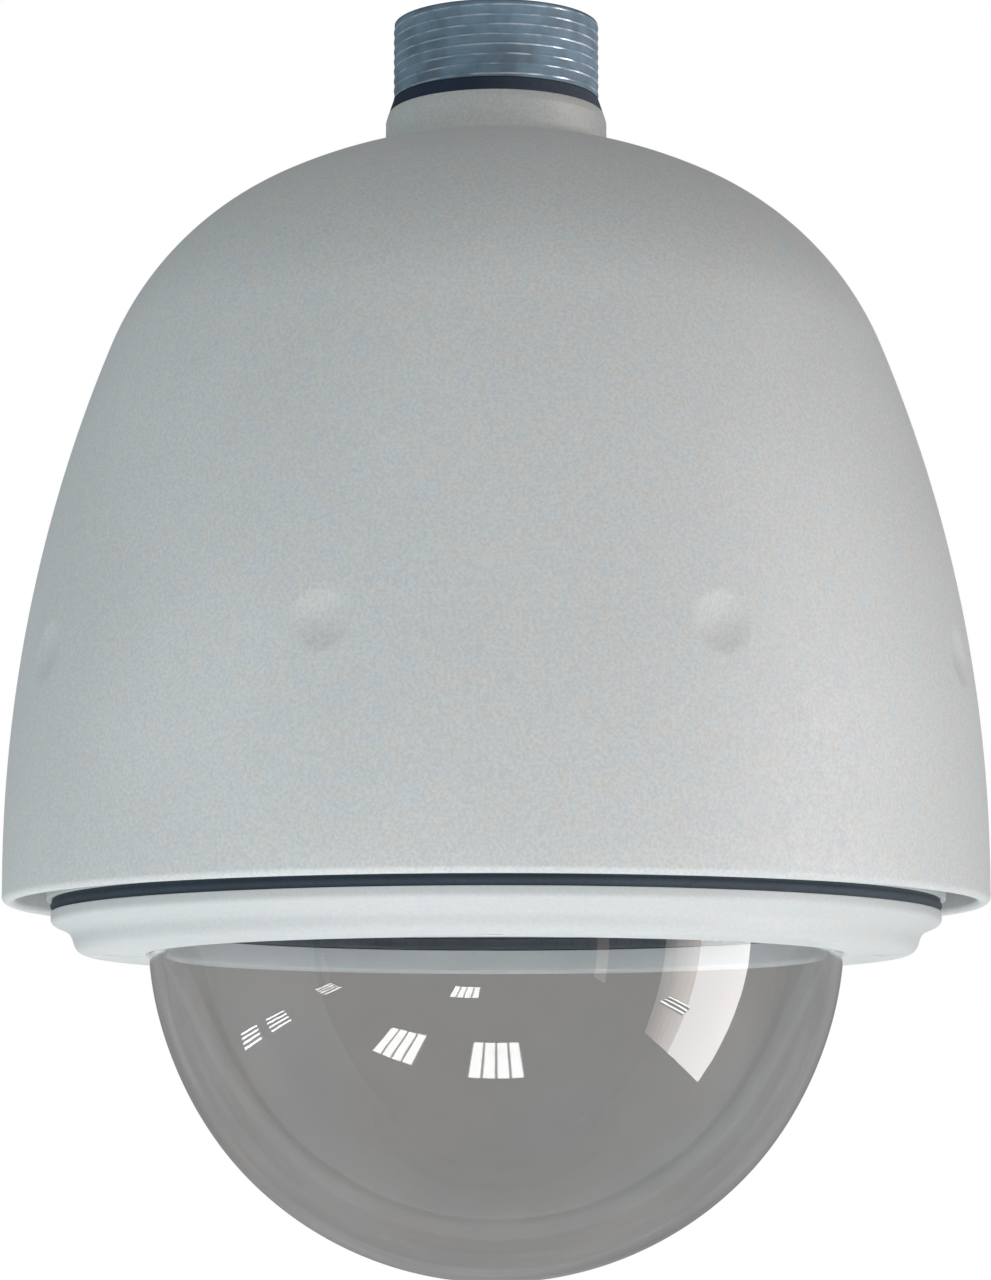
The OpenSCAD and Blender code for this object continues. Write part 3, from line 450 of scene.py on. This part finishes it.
def bell(inset, stop_r, steps=(70, 40, 24)):
    """The bell's outline from its rim line up to the radius stop_r."""
    top = math.degrees(math.acos(stop_r / (CROWN_R - inset)))
    return (arc(FLANK_CENTRE, FLANK_R - inset, 0, FLANK_ANGLE, steps[0])
            + arc(SHOULDER_CENTRE, SHOULDER_R - inset, FLANK_ANGLE, SHOULDER_ANGLE, steps[1])
            + arc((0, CROWN_Z), CROWN_R - inset, SHOULDER_ANGLE, top, steps[2]))


def dimple_centres():
    z = -135 * MM
    slope = math.asin((z - FLANK_Z) / FLANK_R)
    r = FLANK_CENTRE.x + FLANK_R * math.cos(slope)
    for i in range(8):
        a = math.radians(25.5 + 45 * i - 90)
        outward = Vector((math.cos(a) * math.cos(slope), math.sin(a) * math.cos(slope),
                          math.sin(slope)))
        yield Vector((r * math.cos(a), r * math.sin(a), z)), outward


def make_sunshield():
    """The bell in one smooth skin, with eight soft round dimples pressed into it."""
    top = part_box("sunshield")[1].z
    gasket_foot_r = 25.0 * MM
    collar_r = 25.7 * MM
    bore_r = 20.8 * MM
    fillet = 2.6 * MM
    fillet_r = collar_r + fillet
    fillet_z = CROWN_Z + math.sqrt((CROWN_R + fillet) ** 2 - fillet_r ** 2)
    meet = math.degrees(math.acos(fillet_r / (CROWN_R + fillet)))
    lip = SHELL_WALL / 2
    seat_r = 30 * MM
    seat_z = CROWN_Z + math.sqrt((CROWN_R - SHELL_WALL) ** 2 - seat_r ** 2)
    outline = (arc((SHELL_R - lip, RIM_Z + lip), lip, -180, 0, 14)
               + bell(0, CROWN_R * math.cos(math.radians(meet)), steps=(150, 60, 30))
               + arc((fillet_r, fillet_z), fillet, 180 + meet, 180, 10)
               + arc((collar_r - 0.8 * MM, -5.6 * MM), 0.8 * MM, 0, 20, 3)
               + [(gasket_foot_r + 0.1 * MM, top - 0.25 * MM), (gasket_foot_r - 0.15 * MM, top),
                  (bore_r, top), (bore_r, seat_z)]
               + bell(SHELL_WALL, seat_r, steps=(60, 30, 16))[::-1])
    dimples = list(dimple_centres())
    dimple_r, depth, band = 6.9 * MM, 0.75 * MM, 1.5 * MM

    def pressed(point):
        for centre, outward in dimples:
            offset = point - centre
            along = offset.dot(outward)
            across = (offset - outward * along).length
            if across < dimple_r and abs(along) < band:
                t = across / dimple_r
                return point - outward * depth * (1 - t * t) ** 1.3
        return point

    piece = mesh_object("sunshield", lathe(outline, 640, shape=pressed), "shield_paint", sharp=35)
    stand_for(piece, "sunshield", "housing")


def make_housing_gasket():
    low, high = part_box("housing_gasket")
    inner = high.x - 5 * MM
    bulge = 0.35 * MM
    outline = ([(inner, low.z), (high.x - bulge, low.z)]
               + arc((high.x - bulge - 0.6 * MM, (low.z + high.z) / 2), bulge + 0.6 * MM,
                     -50, 50, 8)
               + [(high.x - bulge, high.z), (inner, high.z)])
    piece = mesh_object("housing_gasket", lathe(outline, 256), "black_rubber", sharp=50)
    stand_for(piece, "housing_gasket", "housing")


# --------------------------------------------------------------------- ring and bubble

TRIM_SCREWS = [(87 * MM, 90 * i) for i in range(4)]


def bore_out(piece, cutters):
    """Cuts closed cutter meshes out of a piece and applies the result."""
    for i, cutter in enumerate(cutters):
        modifier = piece.modifiers.new(f"cut_{i}", "BOOLEAN")
        modifier.operation = "DIFFERENCE"
        modifier.solver = "EXACT"
        modifier.object = cutter
    depsgraph = bpy.context.evaluated_depsgraph_get()
    result = bpy.data.meshes.new_from_object(piece.evaluated_get(depsgraph))
    piece.modifiers.clear()
    piece.data = result
    for cutter in cutters:
        bpy.data.objects.remove(cutter)


def cutter_at(outline, centre):
    piece = mesh_object("cutter", lathe(outline, 48), "screw_steel")
    piece.data.transform(Matrix.Translation(centre))
    return piece


def make_trim_ring():
    low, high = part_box("trim_ring")
    outer = high.x
    wall_r = outer - 4.5 * MM
    foot_r = wall_r - 1.45 * MM
    flange_z, wall_z = high.z - 2.6 * MM, high.z - 4.5 * MM
    bore_r = 79.2 * MM
    pocket_r, pocket_z = 84.4 * MM, -193.6 * MM
    seat_r, seat_z = 93.5 * MM, high.z - 0.4 * MM
    outline = rounded([(outer, high.z), (outer, flange_z, 1.3 * MM), (wall_r, wall_z, 1.8 * MM),
                       (foot_r, low.z, 3.4 * MM), (bore_r, low.z, 0.7 * MM), (bore_r, pocket_z),
                       (pocket_r, pocket_z), (pocket_r, seat_z), (seat_r, seat_z),
                       (seat_r, high.z)], 0.2 * MM, 10)
    piece = mesh_object("trim_ring", lathe(outline, 384), "ring_paint", sharp=40)
    mouth_r, head_r, shank_r = 4.5 * MM, 4.2 * MM, 2.3 * MM
    seat = low.z + 3.6 * MM
    beyond = 1 * MM
    cutters = []
    for circle, angle in TRIM_SCREWS:
        a = math.radians(angle)
        centre = Vector((circle * math.cos(a), circle * math.sin(a), 0))
        recess = [(0, low.z - beyond), (mouth_r, low.z - beyond), (mouth_r, low.z - 0.001 * MM),
                  (head_r, low.z + 0.3 * MM), (head_r, seat), (shank_r, seat),
                  (shank_r, high.z + beyond), (0, high.z + beyond)]
        cutters.append(cutter_at(recess, centre))
    bore_out(piece, cutters)
    stand_for(piece, "trim_ring", "dome_ring")


def make_bubble():
    """The hemispherical bubble with its flange, as one even wall."""
    low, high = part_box("dome_bubble")
    radius = 79 * MM
    wall = 3 * MM
    centre_z = low.z + radius
    flange_r = high.x
    foot, top = high.z - wall, high.z
    edge = 0.3 * MM
    drawn_in, drawn_from, drawn_to = 0.25 * MM, 3, 47

    def formed(points):
        """Draws the wall in a little between drawn_from and drawn_to degrees below the centre."""
        result = []
        for r, z in points:
            below = math.degrees(math.atan2(centre_z - z, r))
            t = (below - drawn_from) / (drawn_to - drawn_from)
            share = math.sin(math.pi * t) ** 2 if 0 < t < 1 else 0.0
            result.append((r - drawn_in * share, z))
        return result

    outline = (formed(arc((0, centre_z), radius, -90, 0, 90))
               + [(radius, foot - edge), (radius + edge, foot), (flange_r - edge, foot),
                  (flange_r, foot + edge), (flange_r, top - edge), (flange_r - edge, top),
                  (radius - wall + edge, top), (radius - wall, top - edge)]
               + formed(arc((0, centre_z), radius - wall, 0, -90, 90)))
    piece = mesh_object("dome_bubble", lathe(outline, 256, closed=False), "smoked_bubble", sharp=40)
    stand_for(piece, "dome_bubble", "dome_ring")


# ---------------------------------------------------------------- carried-over CAD nodes

def make_smoother(angle):
    """A geometry node group that shades smooth and keeps edges over the angle sharp."""
    group = bpy.data.node_groups.new("smooth_by_angle", "GeometryNodeTree")
    group.interface.new_socket("Geometry", in_out="INPUT", socket_type="NodeSocketGeometry")
    group.interface.new_socket("Geometry", in_out="OUTPUT", socket_type="NodeSocketGeometry")
    start = group.nodes.new("NodeGroupInput")
    end = group.nodes.new("NodeGroupOutput")
    faces = group.nodes.new("GeometryNodeSetShadeSmooth")
    edges = group.nodes.new("GeometryNodeSetShadeSmooth")
    edges.domain = "EDGE"
    fold = group.nodes.new("GeometryNodeInputMeshEdgeAngle")
    gentle = group.nodes.new("FunctionNodeCompare")
    gentle.operation = "LESS_THAN"
    gentle.inputs[1].default_value = math.radians(angle)
    group.links.new(fold.outputs["Unsigned Angle"], gentle.inputs[0])
    group.links.new(start.outputs[0], faces.inputs["Geometry"])
    group.links.new(faces.outputs[0], edges.inputs["Geometry"])
    group.links.new(gentle.outputs[0], edges.inputs["Shade Smooth"])
    group.links.new(edges.outputs[0], end.inputs[0])
    return group


def finish_cad_nodes():
    """Gives every CAD node that still shows its material, a fine bevel and smooth shading."""
    slots = {row["node"]: row["material_slot"] for row in frame["record"]["subparts"]}
    smoother = make_smoother(32)
    for name, piece in nodes.items():
        if piece.hide_render:
            continue
        piece.data.materials.clear()
        piece.data.materials.append(MATERIALS[slots[name]])
        for polygon in piece.data.polygons:
            polygon.material_index = 0
        bevel = piece.modifiers.new("bevel", "BEVEL")
        bevel.width = 0.25 * MM
        bevel.segments = 2
        bevel.limit_method = "ANGLE"
        bevel.angle_limit = math.radians(50)
        piece.modifiers.new("smooth", "NODES").node_group = smoother


# --------------------------------------------------------------------- stage and lights

def emitter(name, low, high, strength, colour=(1.0, 1.0, 1.0)):
    """A flat glowing card between two corners, seen only in reflections."""
    mesh = bpy.data.meshes.new(name)
    a, b = Vector(low), Vector(high)
    if a.x == b.x:
        corners = [(a.x, a.y, a.z), (a.x, b.y, a.z), (a.x, b.y, b.z), (a.x, a.y, b.z)]
    else:
        corners = [(a.x, a.y, a.z), (b.x, a.y, a.z), (b.x, b.y, b.z), (a.x, b.y, b.z)]
    mesh.from_pydata(corners, [], [(0, 1, 2, 3)])
    material = bpy.data.materials.new(name)
    material.use_nodes = True
    tree = material.node_tree
    tree.nodes.clear()
    glow = tree.nodes.new("ShaderNodeEmission")
    glow.inputs["Color"].default_value = (*colour, 1.0)
    glow.inputs["Strength"].default_value = strength
    tree.links.new(glow.outputs[0], tree.nodes.new("ShaderNodeOutputMaterial").inputs[0])
    mesh.materials.append(material)
    card = bpy.data.objects.new(name, mesh)
    bpy.context.scene.collection.objects.link(card)
    card.visible_camera = False
    card.visible_diffuse = False
    card.visible_transmission = False
    card.visible_shadow = False


def light_panel(name, x, y, z, half, tray, share):
    """A square fitting with four tubes along Y, each as wide as its share of a quarter."""
    pitch = half / 2
    lift, tube_glow = 0.005, 19.0
    emitter(name, (x - half, y - half, z), (x + half, y + half, z), tray)
    for tube in range(4):
        left = x - half + pitch * (tube + (1 - share) / 2)
        emitter(f"{name}_tube_{tube}", (left, y - half, z + lift),
                (left + pitch * share, y + half, z + lift), tube_glow)


def make_reflected_room():
    """Four-tube light panels and a tall window, which the bubble mirrors."""
    panel_z = -1.7
    near = [(0.0, -1.56), (-1.19, -1.58), (-0.62, -3.44)]
    for index, (x, y) in enumerate(near):
        light_panel(f"near_panel_{index}", x, y, panel_z, half=0.29, tray=3.0, share=0.8)
    far = [(-3.8, -2.35), (-3.5, -0.46), (-3.5, 0.5)]
    for index, (x, y) in enumerate(far):
        light_panel(f"far_panel_{index}", x, y, panel_z, half=0.31, tray=0.5, share=0.42)
    light_panel("side_panel", 2.9, -1.36, -1.48, half=0.3, tray=0.5, share=0.42)
    wall, foot, head = 3.0, -2.4, 1.5
    strips = 6
    curtain_start, curtain_end = -1.15, -2.02
    emitter("window_glass", (wall, curtain_start, foot), (wall, 0.0, head), 12.0,
            (1.0, 0.97, 0.96))
    step = (curtain_end - curtain_start) / strips
    for strip in range(strips):
        share = (strip + 0.5) / strips
        emitter(f"window_curtain_{strip}", (wall, curtain_start + step * (strip + 1), foot),
                (wall, curtain_start + step * strip, head), 8.5 - 6.0 * share, (1.0, 0.90, 0.86))
    emitter("window_far", (wall, -4.7, -1.95), (wall, -4.05, head), 2.2, (1.0, 0.86, 0.80))


def make_world():
    """The studio: bright from below, dim overhead, cooler on the left, warmer on the right.

    The camera sees it white. Straight through or off a clear or glossy surface it is a patchy
    grey, as the photo shows there. Light that has bounced inside the bubble meets it boosted on
    its way out, which lights the far side of the ring."""
    world = bpy.data.worlds.new("studio")
    bpy.context.scene.world = world
    world.use_nodes = True
    tree = world.node_tree
    background = next(n for n in tree.nodes if n.type == "BACKGROUND")
    split = tree.nodes.new("ShaderNodeSeparateXYZ")
    direction = tree.nodes.new("ShaderNodeTexCoord").outputs["Generated"]
    tree.links.new(direction, split.inputs[0])

    def ramp(source, stops):
        lift = tree.nodes.new("ShaderNodeMapRange")
        lift.inputs["From Min"].default_value = -1.0
        lift.inputs["From Max"].default_value = 1.0
        tree.links.new(source, lift.inputs["Value"])
        node = tree.nodes.new("ShaderNodeValToRGB")
        elements = node.color_ramp.elements
        while len(elements) < len(stops):
            elements.new(0.5)
        for element, (place, colour) in zip(elements, stops):
            element.position = (place + 1) / 2
            element.color = (*colour, 1.0)
        tree.links.new(lift.outputs["Result"], node.inputs["Fac"])
        return node.outputs["Color"]

    def patches(scale, low, high):
        noise = tree.nodes.new("ShaderNodeTexNoise")
        noise.inputs["Scale"].default_value = scale
        tree.links.new(direction, noise.inputs["Vector"])
        spread = tree.nodes.new("ShaderNodeMapRange")
        spread.inputs["From Min"].default_value = low
        spread.inputs["From Max"].default_value = high
        tree.links.new(noise.outputs["Fac"], spread.inputs["Value"])
        return spread.outputs["Result"]

    def blend(kind, factor, a, b):
        node = tree.nodes.new("ShaderNodeMix")
        node.data_type = "RGBA"
        node.blend_type = kind
        for value, name in ((factor, "Factor"), (a, "A"), (b, "B")):
            socket = node.inputs[name]
            if isinstance(value, (tuple, float)):
                socket.default_value = value if isinstance(value, float) else (*value, 1.0)
            else:
                tree.links.new(value, socket)
        return node.outputs["Result"]

    height = ramp(split.outputs["Z"], [(-1.0, (0.93, 0.99, 1.02)), (-0.06, (0.93, 0.99, 1.02)),
                                       (0.06, (0.56, 0.56, 0.55)), (0.45, (0.46, 0.455, 0.44)),
                                       (1.0, (0.37, 0.365, 0.35))])
    side = ramp(split.outputs["X"], [(-1.0, (0.84, 0.96, 1.0)), (1.0, (1.0, 0.97, 0.95))])
    studio = blend("MULTIPLY", 1.0, height, side)
    path = tree.nodes.new("ShaderNodeLightPath").outputs
    first = tree.nodes.new("ShaderNodeMath")
    first.operation = "LESS_THAN"
    first.inputs[1].default_value = 0.5
    tree.links.new(path["Diffuse Depth"], first.inputs[0])

    def only_first(flag):
        node = tree.nodes.new("ShaderNodeMath")
        node.operation = "MULTIPLY"
        tree.links.new(flag, node.inputs[0])
        tree.links.new(first.outputs[0], node.inputs[1])
        return node.outputs[0]

    boosted = (6.6, 7.1, 7.4)
    inside = blend("MIX", path["Is Transmission Ray"], studio, boosted)
    room = blend("MIX", patches(3.5, 0.42, 0.7), (0.22, 0.22, 0.22), (0.38, 0.39, 0.40))
    ground = blend("MIX", patches(9.0, 0.35, 0.65), (0.375, 0.358, 0.348), (0.34, 0.348, 0.352))
    mirrored = blend("MIX", only_first(path["Is Glossy Ray"]), inside, room)
    through = blend("MIX", only_first(path["Is Transmission Ray"]), mirrored, ground)
    seen = blend("MIX", path["Is Camera Ray"], through, (1.0, 1.0, 1.0))
    tree.links.new(seen, background.inputs["Color"])
    background.inputs["Strength"].default_value = 1.0


def area_light(name, place, target, size, power, colour=(1.0, 1.0, 1.0)):
    light = bpy.data.lights.new(name, "AREA")
    light.shape = "DISK"
    light.size = size
    light.energy = power
    light.color = colour
    lamp = bpy.data.objects.new(name, light)
    lamp.location = place
    lamp.rotation_euler = (Vector(target) - Vector(place)).to_track_quat("-Z", "Y").to_euler()
    bpy.context.scene.collection.objects.link(lamp)
    lamp.visible_camera = False
    lamp.visible_glossy = False
    lamp.visible_transmission = False


def make_camera():
    """A long lens about a metre in front of the axis, a little below and tilted up."""
    data = bpy.data.cameras.new("camera")
    data.lens = 120.3
    data.sensor_width = 36.0
    camera = bpy.data.objects.new("camera", data)
    camera.location = (-0.00015, -0.975, -0.2491)
    camera.rotation_euler = (math.radians(90 + 7.16), 0.0, 0.0)
    data.clip_start = 0.01
    data.clip_end = 100.0
    bpy.context.scene.collection.objects.link(camera)
    bpy.context.scene.camera = camera


def make_stage():
    """A pale, faintly glowing floor far below the hanging camera, and the two lamps."""
    bpy.ops.mesh.primitive_plane_add(size=24, location=(0, 0, -3.2))
    floor = bpy.context.object
    floor.name = "floor"
    s = Surface("floor", (0.86, 0.86, 0.86), 0.7)
    s.paint(s.mix(s.noise(0.6), shade(s.colour, 0.98), s.colour))
    s.set(Emission_Color=(0.93, 0.99, 1.0, 1.0), Emission_Strength=0.68)
    floor.data.materials.append(s.material)
    floor.visible_glossy = False
    floor.visible_transmission = False
    target = (0, 0, -0.14)
    area_light("key", (0.45, -1.6, -2.0), target, 1.2, 16.0, (1.0, 0.985, 0.96))
    area_light("fill", (-1.5, -1.1, -1.9), target, 1.1, 5.4, (0.80, 0.93, 1.0))


make_camera()
make_nipple()
make_mount_gasket()
make_sunshield()
make_housing_gasket()
make_trim_ring()
make_bubble()
finish_cad_nodes()
make_world()
make_stage()
make_reflected_room()
bpy.context.scene.view_settings.view_transform = "Standard"
